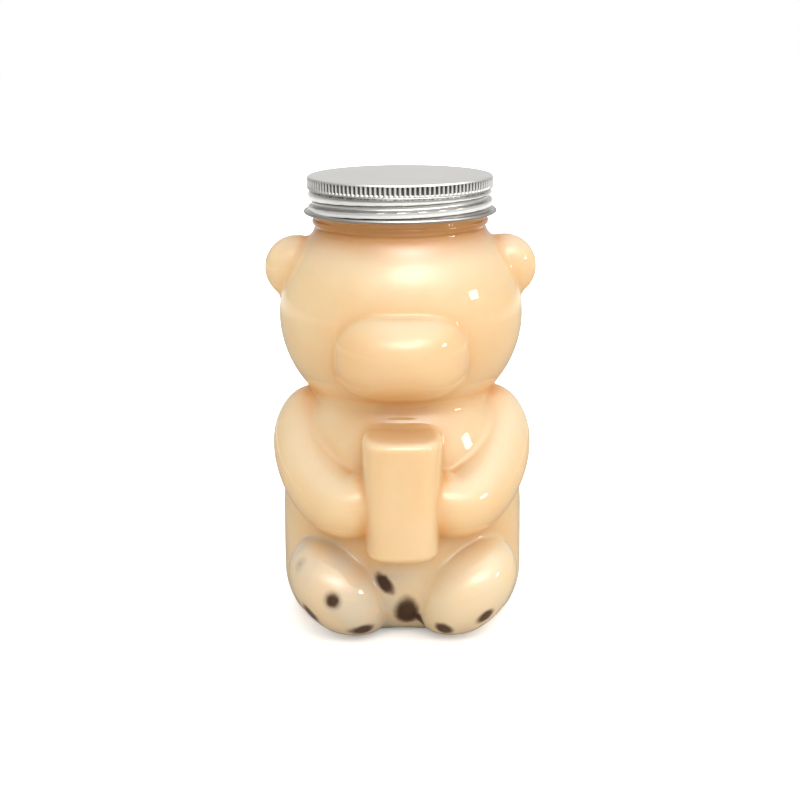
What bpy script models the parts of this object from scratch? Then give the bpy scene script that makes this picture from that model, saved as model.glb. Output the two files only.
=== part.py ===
"""A sitting bear drink bottle: a moulded clear bottle, a rolled aluminium screw lid with its sealing
disc, the drink inside it and the pearls that lie in its feet.

Metres, +Z up. The bear faces -Y. The origin is the middle of the overall box, at the height of the
face that the bottle stands on."""

import math

import bmesh
import bpy
import numpy as np
from mathutils import Vector
from mathutils.bvhtree import BVHTree

# Clearances
SEAT_GAP = 0.0003  # between two pieces that touch
DRINK_GAP = 0.0004  # from the drink to the moulded wall
DIMPLE_GAP = 0.0005  # from a pearl to the drink round it

# Trunk: an upright elliptical drum that closes as half an ellipsoid under the head
TRUNK_HALF_WIDTH = 0.0398
TRUNK_HALF_DEPTH = 0.0365
TRUNK_SHOULDER_Z = 0.0360
TRUNK_DOME_HEIGHT = 0.0570
HEEL_TAPER_HEIGHT = 0.0160
HEEL_TAPER_DEPTH = 0.0055
HEEL_TAPER_POWER = 2.2
HEEL_EDGE_RADIUS = 0.0016
HEEL_NOTCH_DEPTH = 0.0065  # the heel draws in this much more between the feet
HEEL_NOTCH_HALF_WIDTH = 0.0120

# Base
FOOT_RING_RADIUS = 0.0235
PUSH_UP_HEIGHT = 0.0033
LEVEL_TRIM = 0.0003  # the base is formed this much too deep, then cut off level

# Head
HEAD_HALF_WIDTH = 0.0400
HEAD_HALF_DEPTH = 0.0372
HEAD_HALF_HEIGHT = 0.0375
HEAD_Z = 0.1020
MUZZLE_HALF_WIDTH = 0.0220
MUZZLE_HALF_DEPTH = 0.0200
MUZZLE_HALF_HEIGHT = 0.0152
MUZZLE_SQUARENESS = 2.6
MUZZLE_Y = -0.0268
MUZZLE_Z = 0.0940
EAR_RADIUS = 0.0106
EAR_HALF_THICKNESS = 0.0080
EAR_X = 0.0340
EAR_Z = 0.1170

# Arms, as balls along a curve from the shoulder to the paw: x, y, z, radius. The left arm mirrors them
ARM_BALLS = (
    (0.0283, 0.0000, 0.0648, 0.0125),
    (0.0294, -0.0110, 0.0558, 0.0124),
    (0.0234, -0.0265, 0.0472, 0.0114),
    (0.0140, -0.0340, 0.0455, 0.0104),
)
ARM_STEPS = 13

# The cup held between the paws
CUP_TOP_HALF_WIDTH = 0.0128
CUP_BOTTOM_HALF_WIDTH = 0.0107
CUP_HALF_DEPTH = 0.0140
CUP_FRONT_REACH = 0.0500
CUP_BOTTOM_Z = 0.0300
CUP_TOP_Z = 0.0692
CUP_EDGE_RADIUS = 0.0026
CUP_SQUARENESS = 3.0

# Feet: ellipsoids that lean outwards, soles to the front
FOOT_X = 0.0205
FOOT_Y = -0.0262
FOOT_Z = 0.0155
FOOT_HALF_WIDTH = 0.0133
FOOT_HALF_DEPTH = 0.0190
FOOT_HALF_LENGTH = 0.0192
FOOT_LEAN = math.radians(47)

# How softly one form runs into the next
BROAD_BLEND = 0.0035
FINE_BLEND = 0.0018

# Walls of the moulding
WALL = 0.0009
BASE_WALL = 0.0012

# Neck finish
NECK_STEP = 0.0006  # from the thread's root in to the plain neck below it
NECK_FLARE = 0.0003
NECK_BASE_Z = 0.1300
NECK_ROOT_DEPTH = 0.0040
NECK_WALL = 0.0018
NECK_HEIGHT = 0.0154
RIM_EDGE = 0.0004
SUPPORT_RING_REACH = 0.0011  # from the thread's root
SUPPORT_RING_RISE = 0.0015  # from the neck's base to the ring
SUPPORT_RING_HEIGHT = 0.0015
SUPPORT_RING_EDGE = 0.0004
THREAD_PITCH = 0.0040
THREAD_ROOT_RADIUS = 0.0277
THREAD_DEPTH = 0.0014
THREAD_HALF_WIDTH = 0.0011
THREAD_FRONT_DROP = 0.0079  # from the rim to the lower ridge at the very front
THREAD_TURNS_ABOVE_FRONT = 0.78
THREAD_TURNS_BELOW_FRONT = 0.45
THREAD_FADE_TURNS = 0.10
NECK_COLUMNS = 40
NECK_THREAD_ROWS = 12

# Lid
LID_SHEET = 0.0003
LID_RING_CLEARANCE = 0.0019  # from the bottle's support ring to the lid's bead
LID_WALL_CLEARANCE = 0.0006  # from the bottle's ridge to the inside of the lid
LID_RIDGE_REACH = 0.0012  # how far the rolled ridge stands in from the lid's wall
LID_RIDGE_HALF_WIDTH = 0.0012
LID_RIDGE_TURNS_ABOVE_FRONT = 0.30
LID_RIDGE_TURNS_BELOW_FRONT = 1.15
LID_TOP_EDGE = 0.0006
KNURLS = 120
KNURLS_PER_COLUMN = 3
KNURL_RISE = 0.0003  # how far the knurls stand out from the lid's wall
KNURL_DEPTH = 0.0004
KNURL_HEIGHT = 0.0033
KNURL_GROOVE_HEIGHT = 0.0008
KNURL_GROOVE_DEPTH = 0.0010
BEAD_REACH = 0.0015
BEAD_HEIGHT = 0.0014
LID_THREAD_ROWS = 8
BEAD_STEPS = 4

# Sealing disc
LINER_THICKNESS = 0.0008

# Drink and pearls
FILL_DROP = 0.0069  # from the rim down to the drink's level
PEARL_RADIUS = 0.0036
# Where each pearl lies against the wall: degrees round from +X, and height
PEARL_SPOTS = (
    (-119.3, 0.0169),
    (-129.5, 0.0112),
    (-112.4, 0.0083),
    (-103.9, 0.0194),
    (-89.3, 0.0105),
    (-76.5, 0.0066),
    (-67.0, 0.0086),
    (-58.0, 0.0133),
    (-130.3, 0.0242),
)

# Grids of the moulded forms, which are then thinned out where they are flat
FRONT_CROWDING = 0.17  # share by which the columns crowd towards the front
GRID_COLUMNS = 96
GRID_ROWS = 72
GRID_BASE_RINGS = 5
OUTER_KEPT_SHARE = 0.23
ROOM_KEPT_SHARE = 0.155
FORM_SAMPLES = 4  # tests along each side of a triangle
FORM_ROUNDS = 14
FORM_TOLERANCE = 0.00001
SEARCH_REACH = 0.0600
SEARCH_STEPS = 34
PEARL_STEP = 0.00005
SHARP_ANGLE = math.radians(38)

# The middle of the overall depth is the origin, and the upright axis stands this far behind it
AXIS_Y = (CUP_FRONT_REACH - HEAD_HALF_DEPTH) / 2

RIM_Z = NECK_BASE_Z + NECK_HEIGHT
SUPPORT_RING_LOW_Z = NECK_BASE_Z + SUPPORT_RING_RISE
SUPPORT_RING_HIGH_Z = SUPPORT_RING_LOW_Z + SUPPORT_RING_HEIGHT
THREAD_FRONT_Z = RIM_Z - THREAD_FRONT_DROP
FILL_Z = RIM_Z - FILL_DROP
NECK_RADIUS = THREAD_ROOT_RADIUS - NECK_STEP
SUPPORT_RING_RADIUS = THREAD_ROOT_RADIUS + SUPPORT_RING_REACH
THREAD_CREST_RADIUS = THREAD_ROOT_RADIUS + THREAD_DEPTH
BORE_RADIUS = THREAD_ROOT_RADIUS - NECK_WALL
BORE_LOW_Z = NECK_BASE_Z - 3 * WALL
LID_WALL_RADIUS = THREAD_CREST_RADIUS + LID_WALL_CLEARANCE
LINER_RADIUS = LID_WALL_RADIUS - SEAT_GAP
LINER_LOW_Z = RIM_Z + SEAT_GAP
LID_CEILING_Z = LINER_LOW_Z + LINER_THICKNESS + SEAT_GAP
LID_TOP_Z = LID_CEILING_Z + LID_SHEET
LID_LOW_Z = SUPPORT_RING_HIGH_Z + LID_RING_CLEARANCE
FRONT_TURN = 0.75


def clear_scene():
    for obj in list(bpy.data.objects):
        bpy.data.objects.remove(obj, do_unlink=True)


def make_material(name, colour, roughness, metallic=0.0, transmission=0.0, ior=1.5):
    material = bpy.data.materials.new(name)
    material.use_nodes = True
    shader = material.node_tree.nodes["Principled BSDF"]
    shader.inputs["Base Color"].default_value = (*colour, 1.0)
    shader.inputs["Roughness"].default_value = roughness
    shader.inputs["Metallic"].default_value = metallic
    shader.inputs["Transmission Weight"].default_value = transmission
    shader.inputs["IOR"].default_value = ior
    return material


def make_object(name, points, faces, material=None):
    """A closed mesh object on the upright axis, shaded smooth with its sharp edges kept."""
    mesh = bpy.data.meshes.new(name)
    mesh.from_pydata([tuple(map(float, p)) for p in points], [], faces)
    edit = bmesh.new()
    edit.from_mesh(mesh)
    bmesh.ops.recalc_face_normals(edit, faces=edit.faces)
    if edit.calc_volume(signed=True) < 0:
        bmesh.ops.reverse_faces(edit, faces=edit.faces)
    edit.to_mesh(mesh)
    edit.free()
    mesh.shade_smooth()
    mesh.set_sharp_from_angle(angle=SHARP_ANGLE)
    if material:
        mesh.materials.append(material)
    obj = bpy.data.objects.new(name, mesh)
    obj.location = (0, AXIS_Y, 0)
    bpy.context.scene.collection.objects.link(obj)
    return obj


def make_helper(name, points, faces):
    """A form that only cuts or joins another one."""
    obj = make_object(name, points, faces)
    obj.hide_render = True
    obj.display_type = "WIRE"
    return obj


def add_boolean(obj, other, operation):
    modifier = obj.modifiers.new(f"{operation.lower()} {other.name}", "BOOLEAN")
    modifier.operation = operation
    modifier.solver = "EXACT"
    modifier.object = other


def join_rings(faces, ring, above):
    """Faces between two rings of point numbers, one of which may have a whole multiple of the other's."""
    if len(ring) == len(above):
        for i, j in zip(range(len(ring)), [*range(1, len(ring)), 0]):
            faces.append((ring[i], ring[j], above[j], above[i]))
        return
    coarse, fine = sorted((ring, above), key=len)
    share = len(fine) // len(coarse)
    for i, start in enumerate(coarse):
        end = coarse[(i + 1) % len(coarse)]
        steps = [fine[(i * share + k) % len(fine)] for k in range(share + 1)]
        half = share // 2
        faces.extend((start, steps[k + 1], steps[k]) for k in range(half))
        faces.append((start, end, steps[half]))
        faces.extend((end, steps[k + 1], steps[k]) for k in range(half, share))


def loft(rings, first_centre, last_centre):
    """Points and faces of a closed form through rings of points, with a fan to each end's centre."""
    points = []
    numbers = []
    for ring in rings:
        numbers.append(list(range(len(points), len(points) + len(ring))))
        points.extend(ring)
    faces = []
    for ring, above in zip(numbers, numbers[1:]):
        join_rings(faces, ring, above)
    for ring, centre in ((numbers[0], first_centre), (numbers[-1], last_centre)):
        tip = len(points)
        points.append(centre)
        faces.extend((tip, ring[i], ring[(i + 1) % len(ring)]) for i in range(len(ring)))
    return points, faces


def circle(radius, z, columns):
    """A level ring of points. The radius is one value, or one for each column."""
    radii = np.broadcast_to(radius, columns)
    turns = 2 * math.pi * np.arange(columns) / columns
    return [(r * math.cos(t), r * math.sin(t), z) for r, t in zip(radii, turns)]


def blend(first, second, softness):
    """Union of two distance fields with a soft join."""
    overlap = np.maximum(softness - np.abs(first - second), 0) / softness
    return np.minimum(first, second) - overlap**2 * softness / 4


def ellipsoid(points, centre, radii, lean=0.0):
    """Distance from points to an ellipsoid that leans by an angle about the Y axis."""
    offset = points - np.array(centre)
    x = offset[..., 0] * math.cos(lean) - offset[..., 2] * math.sin(lean)
    z = offset[..., 0] * math.sin(lean) + offset[..., 2] * math.cos(lean)
    turned = np.stack([x, offset[..., 1], z], axis=-1)
    scaled = np.linalg.norm(turned / radii, axis=-1)
    slope = np.linalg.norm(turned / np.square(radii), axis=-1)
    return scaled * (scaled - 1) / np.maximum(slope, 1e-6)


def trunk(points):
    x, y, z = np.moveaxis(points, -1, 0)
    reach = np.hypot(x, y * TRUNK_HALF_WIDTH / TRUNK_HALF_DEPTH)
    below = np.clip(1 - z / HEEL_TAPER_HEIGHT, 0, 1)
    above = np.clip((z - TRUNK_SHOULDER_Z) / TRUNK_DOME_HEIGHT, 0, 0.999)
    notch = HEEL_NOTCH_DEPTH * np.exp(-((x / HEEL_NOTCH_HALF_WIDTH) ** 2)) * (y < 0)
    taper = (HEEL_TAPER_DEPTH + notch) * below**HEEL_TAPER_POWER
    return reach - TRUNK_HALF_WIDTH * np.sqrt(1 - above**2) + taper


def head(points):
    centre = (0, 0, HEAD_Z)
    skull = ellipsoid(points, centre, (HEAD_HALF_WIDTH, HEAD_HALF_DEPTH, HEAD_HALF_HEIGHT))
    neck = np.hypot(points[..., 0], points[..., 1]) - NECK_RADIUS - NECK_FLARE
    neck = np.maximum(neck, HEAD_Z - points[..., 2])
    return blend(skull, neck, BROAD_BLEND)


def muzzle(points):
    x, y, z = np.abs(np.moveaxis(points - (0, MUZZLE_Y, MUZZLE_Z), -1, 0))
    power = MUZZLE_SQUARENESS
    face = (x / MUZZLE_HALF_WIDTH) ** power + (z / MUZZLE_HALF_HEIGHT) ** power
    return (np.hypot(face ** (1 / power), y / MUZZLE_HALF_DEPTH) - 1) * MUZZLE_HALF_HEIGHT


def ear(points, side):
    return ellipsoid(points, (side * EAR_X, 0, EAR_Z), (EAR_RADIUS, EAR_HALF_THICKNESS, EAR_RADIUS))


def arm(points, side):
    """Distance to a limb swept along a cubic curve through the arm's balls."""
    balls = np.array(ARM_BALLS) * (side, 1, 1, 1)
    steps = np.linspace(0, 1, ARM_STEPS)[:, None]
    weights = [(1 - steps) ** 3, 3 * steps * (1 - steps) ** 2, 3 * steps**2 * (1 - steps), steps**3]
    controls = [balls[0], *curve_controls(balls), balls[3]]
    path = sum(weight * control for weight, control in zip(weights, controls))
    nearest = np.full(points.shape[:-1], np.inf)
    for start, end in zip(path, path[1:]):
        run = end[:3] - start[:3]
        share = np.clip((points - start[:3]) @ run / (run @ run), 0, 1)
        off = np.linalg.norm(points - start[:3] - share[..., None] * run, axis=-1)
        nearest = np.minimum(nearest, off - start[3] - share * (end[3] - start[3]))
    return nearest


def curve_controls(balls):
    """The two inner controls of the cubic that passes through all four balls at even steps."""
    first = (-5 * balls[0] + 18 * balls[1] - 9 * balls[2] + 2 * balls[3]) / 6
    second = (2 * balls[0] - 9 * balls[1] + 18 * balls[2] - 5 * balls[3]) / 6
    return first, second


def cup(points):
    x, y, z = np.moveaxis(points, -1, 0)
    share = (z - CUP_BOTTOM_Z) / (CUP_TOP_Z - CUP_BOTTOM_Z)
    half_width = CUP_BOTTOM_HALF_WIDTH + (CUP_TOP_HALF_WIDTH - CUP_BOTTOM_HALF_WIDTH) * share
    across = np.abs(x / half_width) ** CUP_SQUARENESS
    along = np.abs((y + CUP_FRONT_REACH - CUP_HALF_DEPTH) / CUP_HALF_DEPTH) ** CUP_SQUARENESS
    side = ((across + along) ** (1 / CUP_SQUARENESS) - 1) * half_width + CUP_EDGE_RADIUS
    middle = (CUP_TOP_Z + CUP_BOTTOM_Z) / 2
    end = np.abs(z - middle) - (CUP_TOP_Z - CUP_BOTTOM_Z) / 2 + CUP_EDGE_RADIUS
    outside = np.hypot(np.maximum(side, 0), np.maximum(end, 0))
    return np.minimum(np.maximum(side, end), 0) + outside - CUP_EDGE_RADIUS


def foot(points, side):
    radii = (FOOT_HALF_WIDTH, FOOT_HALF_DEPTH, FOOT_HALF_LENGTH)
    return ellipsoid(points, (side * FOOT_X, FOOT_Y, FOOT_Z), radii, side * FOOT_LEAN)


def bear(points):
    """Distance from points to the bottle's outer skin, below nought inside it."""
    skin = blend(trunk(points), head(points), BROAD_BLEND)
    skin = blend(skin, muzzle(points), FINE_BLEND)
    for side in (-1, 1):
        skin = blend(skin, ear(points, side), FINE_BLEND)
        skin = blend(skin, arm(points, side), FINE_BLEND)
        skin = blend(skin, foot(points, side), FINE_BLEND)
    return blend(skin, cup(points), FINE_BLEND)


def skin_radius(azimuth, height, inset):
    """How far from the axis the skin lies, less an inset along the field."""
    low = np.zeros(np.broadcast(azimuth, height).shape)
    high = low + SEARCH_REACH
    across, along = np.cos(azimuth), np.sin(azimuth)
    for _ in range(SEARCH_STEPS):
        middle = (low + high) / 2
        spots = np.stack([middle * across, middle * along, height + 0 * middle], axis=-1)
        inside = bear(spots) < -inset
        low, high = np.where(inside, middle, low), np.where(inside, high, middle)
    return (low + high) / 2


def column_azimuths(columns):
    """Column angles that crowd towards the front, alike on both sides."""
    share = (2 * np.arange(columns) + 1) / columns - 1
    eased = share - FRONT_CROWDING * np.sin(math.pi * share)
    return math.pi * eased - math.pi / 2


def polar_ring(radii, azimuths, z):
    reaches = np.broadcast_to(radii, len(azimuths))
    return [(r * math.cos(a), r * math.sin(a), z) for r, a in zip(reaches, azimuths)]


def floor_rings(azimuths, floor_z, count):
    """Rings of the hollow in the base, from near the axis to the ring that the bottle stands on."""
    rings = []
    for k in range(1, count + 1):
        share = k / count
        rings.append(polar_ring(FOOT_RING_RADIUS * share, azimuths, floor_z + PUSH_UP_HEIGHT * (1 - share**2) ** 2))
    return rings


def outer_form():
    """The bear's outer skin from the standing face up to the neck, with a rounded heel."""
    azimuths = column_azimuths(GRID_COLUMNS)
    edge = HEEL_EDGE_RADIUS
    corner = [edge * (1 - math.cos(k * math.pi / 8)) for k in range(4)]
    rings = floor_rings(azimuths, -LEVEL_TRIM, GRID_BASE_RINGS)
    rings.append(polar_ring(skin_radius(azimuths, 0, 0) - edge, azimuths, -LEVEL_TRIM))
    for z in (*corner, *np.linspace(edge, NECK_BASE_Z, GRID_ROWS)):
        rounding = edge - math.sqrt(edge**2 - max(edge - z, 0) ** 2)
        rings.append(polar_ring(skin_radius(azimuths, z, 0) - rounding, azimuths, z))
    return loft(rings, (0, 0, PUSH_UP_HEIGHT - LEVEL_TRIM), (0, 0, NECK_BASE_Z))


def thin_out(obj, kept_share):
    thinning = obj.modifiers.new("thin out", "DECIMATE")
    thinning.ratio = kept_share
    thinning.use_symmetry = True
    thinning.symmetry_axis = "X"


def make_skin(material):
    """The bear's outer form, thinned out, and a tree of its faces."""
    bottle = make_object("bottle", *outer_form(), material)
    thin_out(bottle, OUTER_KEPT_SHARE)
    return bottle, BVHTree.FromObject(bottle, bpy.context.evaluated_depsgraph_get())


def thinned_room():
    """Points and triangles of the room inside the walls, thinned out."""
    azimuths = column_azimuths(GRID_COLUMNS)
    high = NECK_BASE_Z - WALL
    rings = floor_rings(azimuths, BASE_WALL, GRID_BASE_RINGS)
    for z in np.linspace(BASE_WALL, high, GRID_ROWS):
        rings.append(polar_ring(skin_radius(azimuths, z, WALL), azimuths, z))
    draft = make_helper("room_draft", *loft(rings, (0, 0, BASE_WALL + PUSH_UP_HEIGHT), (0, 0, high)))
    thin_out(draft, ROOM_KEPT_SHARE)
    mesh = draft.evaluated_get(bpy.context.evaluated_depsgraph_get()).to_mesh()
    mesh.calc_loop_triangles()
    points = np.array([vertex.co for vertex in mesh.vertices])
    triangles = np.array([triangle.vertices for triangle in mesh.loop_triangles])
    bpy.data.objects.remove(draft, do_unlink=True)
    return points, triangles


def face_tree(form):
    points, triangles = form
    return BVHTree.FromPolygons(points.tolist(), triangles.tolist())


def lacks_and_ways(outside, points, gap):
    """How much each point lacks of a gap to the faces round it, and its way in from them."""
    nearest = [outside.find_nearest(point) for point in points]
    places = np.array([place for place, _, _, _ in nearest])
    normals = np.array([normal for _, normal, _, _ in nearest])
    distances = np.linalg.norm(places - points, axis=1)
    insides = np.sign(((places - points) * normals).sum(axis=1))
    return gap - distances * insides, -normals


def drawn_in(form, outside, gap):
    """A form's points and triangles, moved in until each triangle keeps the gap to the faces round it."""
    points, triangles = form
    count = FORM_SAMPLES
    shares = np.array([(a, b, count - a - b) for a in range(count + 1) for b in range(count + 1 - a)]) / count
    weights = shares / (shares**2).sum(axis=1, keepdims=True)
    for _ in range(FORM_ROUNDS):
        samples = np.einsum("sk,tkc->tsc", shares, points[triangles]).reshape(-1, 3)
        lacks, ways = lacks_and_ways(outside, samples, gap)
        short = np.flatnonzero(lacks > FORM_TOLERANCE)
        sizes = (lacks[short, None] * weights[short % len(shares)]).ravel()
        corners = triangles[short // len(shares)].ravel()
        order = np.argsort(sizes)
        moves = np.zeros(points.shape)
        moves[corners[order]] = (sizes[:, None] * np.repeat(ways[short], 3, axis=0))[order]
        points = points + moves
    return points, triangles


def inset(form, depth):
    """A form's points and triangles, each point moved in by a depth."""
    points, triangles = form
    first, second, third = (points[triangles[:, k]] for k in range(3))
    normals = np.zeros(points.shape)
    for k in range(3):
        np.add.at(normals, triangles[:, k], np.cross(second - first, third - first))
    normals /= np.linalg.norm(normals, axis=1, keepdims=True)
    return points - depth * normals, triangles


def ridge_height(azimuth, z, turns_above, turns_below, half_width, drop):
    """How much of a thread's ridge stands at a place: 1 on its crest, 0 off it.

    The right-hand helix rises with the azimuth. It runs for some turns above and below its crossing
    of the front, and drop lowers it."""
    turn = (azimuth / (2 * math.pi) - FRONT_TURN) % 1.0
    most = 0.0
    for lap in range(-math.ceil(turns_below) - 1, math.ceil(turns_above) + 1):
        along = turn + lap
        crest = THREAD_FRONT_Z - drop + THREAD_PITCH * along
        left = min(turns_above - along, along + turns_below)
        fade = min(max(left / THREAD_FADE_TURNS, 0), 1)
        off = min(abs(z - crest) / half_width, 1)
        most = max(most, (0.5 + 0.5 * math.cos(math.pi * off)) * fade)
    return most


def ridge_ring(columns, z, base_radius, reach, *helix):
    """A level ring at a base radius that a helical ridge changes by its reach."""
    turns = 2 * math.pi * np.arange(columns) / columns
    return circle([base_radius + reach * ridge_height(t, z, *helix) for t in turns], z, columns)


def make_neck():
    """The neck finish: root inside the head, support ring, thread and rim."""
    ring_low, ring_high = SUPPORT_RING_LOW_Z, SUPPORT_RING_HIGH_Z
    edge = SUPPORT_RING_EDGE
    rings = [
        circle(NECK_RADIUS, NECK_BASE_Z - NECK_ROOT_DEPTH, NECK_COLUMNS),
        circle(NECK_RADIUS, ring_low, NECK_COLUMNS),
        circle(SUPPORT_RING_RADIUS - edge, ring_low, NECK_COLUMNS),
        circle(SUPPORT_RING_RADIUS, ring_low + edge, NECK_COLUMNS),
        circle(SUPPORT_RING_RADIUS, ring_high - edge, NECK_COLUMNS),
        circle(SUPPORT_RING_RADIUS - edge, ring_high, NECK_COLUMNS),
        circle(THREAD_ROOT_RADIUS, ring_high, NECK_COLUMNS),
    ]
    helix = (THREAD_TURNS_ABOVE_FRONT, THREAD_TURNS_BELOW_FRONT, THREAD_HALF_WIDTH, 0)
    low = THREAD_FRONT_Z - THREAD_PITCH * THREAD_TURNS_BELOW_FRONT - THREAD_HALF_WIDTH
    high = THREAD_FRONT_Z + THREAD_PITCH * THREAD_TURNS_ABOVE_FRONT + THREAD_HALF_WIDTH
    for z in np.linspace(low, high, NECK_THREAD_ROWS):
        rings.append(ridge_ring(NECK_COLUMNS, z, THREAD_ROOT_RADIUS, THREAD_DEPTH, *helix))
    rings.append(circle(THREAD_ROOT_RADIUS, RIM_Z - RIM_EDGE, NECK_COLUMNS))
    rings.append(circle(THREAD_ROOT_RADIUS - RIM_EDGE, RIM_Z, NECK_COLUMNS))
    points, faces = loft(rings, (0, 0, NECK_BASE_Z - NECK_ROOT_DEPTH), (0, 0, RIM_Z))
    return make_helper("neck_form", points, faces)


def make_column(name, radius, low_z, high_z):
    rings = [circle(radius, low_z, NECK_COLUMNS), circle(radius, high_z, NECK_COLUMNS)]
    return make_helper(name, *loft(rings, (0, 0, low_z), (0, 0, high_z)))


def hollow_out(bottle, room_points, room_triangles):
    """Joins the neck to the bear, cuts the room and the bore out of them, and levels the base."""
    bore = make_column("bore_form", BORE_RADIUS, BORE_LOW_Z, RIM_Z + NECK_ROOT_DEPTH)
    add_boolean(bottle, make_neck(), "UNION")
    add_boolean(bottle, make_helper("room_form", room_points, room_triangles.tolist()), "DIFFERENCE")
    add_boolean(bottle, bore, "DIFFERENCE")
    add_boolean(bottle, make_column("level_form", SEARCH_REACH, -SEARCH_REACH, 0), "DIFFERENCE")


def pearl_places(room):
    """Centres of the pearls: each is drawn in towards the axis until it clears the wall."""
    wall = face_tree(room)
    places = []
    for azimuth_deg, z in PEARL_SPOTS:
        azimuth = math.radians(azimuth_deg)
        out = Vector((math.cos(azimuth), math.sin(azimuth), 0))
        reach = float(skin_radius(np.array(azimuth), np.array(z), WALL + PEARL_RADIUS))
        while wall.find_nearest(out * reach + Vector((0, 0, z)))[3] < PEARL_RADIUS + SEAT_GAP:
            reach -= PEARL_STEP
        places.append((reach * out.x, reach * out.y, z))
    return places


def make_ball(name, radius, place, material=None):
    mesh = bpy.data.meshes.new(name)
    edit = bmesh.new()
    bmesh.ops.create_icosphere(edit, subdivisions=2, radius=radius)
    edit.to_mesh(mesh)
    edit.free()
    mesh.shade_smooth()
    if material:
        mesh.materials.append(material)
    obj = bpy.data.objects.new(name, mesh)
    x, y, z = place
    obj.location = (x, y + AXIS_Y, z)
    bpy.context.scene.collection.objects.link(obj)
    return obj


def make_drink(material, room, places):
    """The drink fills the room and the bore up to its level, with a dimple round each pearl."""
    points, triangles = drawn_in(inset(room, DRINK_GAP), face_tree(room), DRINK_GAP)
    drink = make_object("milk_tea", points, triangles.tolist(), material)
    column = make_column("drink_neck_form", BORE_RADIUS - SEAT_GAP, BORE_LOW_Z + DRINK_GAP, FILL_Z)
    add_boolean(drink, column, "UNION")
    for number, place in enumerate(places, 1):
        dimple = make_ball(f"dimple_form_{number:02d}", PEARL_RADIUS + DIMPLE_GAP, place)
        dimple.hide_render = True
        dimple.display_type = "WIRE"
        add_boolean(drink, dimple, "DIFFERENCE")
    return drink


def make_liner(material):
    """The sealing disc inside the lid, on its own centre at the joint's axis."""
    columns = NECK_COLUMNS
    high = LINER_LOW_Z + LINER_THICKNESS
    rings = [circle(LINER_RADIUS, LINER_LOW_Z, columns), circle(LINER_RADIUS, high, columns)]
    return make_object("cap_liner", *loft(rings, (0, 0, LINER_LOW_Z), (0, 0, high)), material)


def knurl_ring(radius, z):
    """A ring of ridges with a valley after each."""
    radii = [radius - KNURL_DEPTH * (k % 2) for k in range(2 * KNURLS)]
    return circle(radii, z, 2 * KNURLS)


def make_lid(material):
    """The lid: one thin sheet with a flat top, knurled band, rolled thread and curled bottom bead."""
    columns = KNURLS // KNURLS_PER_COLUMN
    wall = LID_WALL_RADIUS
    outer_wall = wall + LID_SHEET
    edge = LID_TOP_EDGE
    knurl_radius = outer_wall + KNURL_RISE
    knurl_high = LID_TOP_Z - edge
    knurl_low = knurl_high - KNURL_HEIGHT
    groove_z = knurl_low - KNURL_GROOVE_HEIGHT
    thread_high = groove_z - KNURL_GROOVE_HEIGHT
    bead_high = LID_LOW_Z + BEAD_HEIGHT
    helix = (LID_RIDGE_TURNS_ABOVE_FRONT, LID_RIDGE_TURNS_BELOW_FRONT, LID_RIDGE_HALF_WIDTH, -THREAD_PITCH / 2)
    outer = [
        circle(knurl_radius - 2 * edge, LID_TOP_Z, columns),
        circle(knurl_radius - edge / 2, LID_TOP_Z - edge / 4, columns),
        knurl_ring(knurl_radius, knurl_high),
        knurl_ring(knurl_radius, knurl_low),
        circle(outer_wall - KNURL_GROOVE_DEPTH, groove_z, columns),
    ]
    inner = [
        circle(wall, LID_CEILING_Z, columns),
        circle(wall, knurl_low, columns),
        circle(wall - KNURL_GROOVE_DEPTH, groove_z, columns),
    ]
    for z in np.linspace(thread_high, bead_high, LID_THREAD_ROWS):
        outer.append(ridge_ring(columns, z, outer_wall, -LID_RIDGE_REACH, *helix))
        inner.append(ridge_ring(columns, z, wall, -LID_RIDGE_REACH, *helix))
    for k in range(1, BEAD_STEPS):
        angle = math.pi * k / BEAD_STEPS
        z = bead_high - BEAD_HEIGHT / 2 * (1 - math.cos(angle))
        outer.append(circle(outer_wall + BEAD_REACH * math.sin(angle), z, columns))
    outer.append(circle(outer_wall, LID_LOW_Z, columns))
    inner.append(circle(wall, LID_LOW_Z, columns))
    points, faces = loft([*outer, *reversed(inner)], (0, 0, LID_TOP_Z), (0, 0, LID_CEILING_Z))
    return make_object("cap", points, faces, material)


def build():
    clear_scene()
    clear_plastic = make_material("clear_plastic", (0.95, 0.90, 0.85), 0.05, transmission=1.0, ior=1.57)
    aluminium = make_material("satin_aluminium", (0.72, 0.71, 0.70), 0.32, metallic=1.0)
    seal_foam = make_material("seal_foam", (0.86, 0.86, 0.84), 0.70)
    tea = make_material("milk_tea", (0.87, 0.62, 0.38), 0.30)
    tapioca = make_material("tapioca", (0.030, 0.018, 0.012), 0.25)
    bottle, skin = make_skin(clear_plastic)
    room = drawn_in(thinned_room(), skin, WALL)
    places = pearl_places(room)
    hollow_out(bottle, *room)
    make_lid(aluminium)
    make_liner(seal_foam)
    make_drink(tea, room, places)
    for number, place in enumerate(places, 1):
        make_ball(f"tapioca_pearl_{number:02d}", PEARL_RADIUS, place, tapioca)


build()
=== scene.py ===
"""Dresses the bear bottle: clear glossy shell, milk tea, tapioca pearls and a rolled aluminium lid."""

import math

import bmesh
import bpy
import numpy as np
from mathutils import Matrix, Vector, noise


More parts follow.
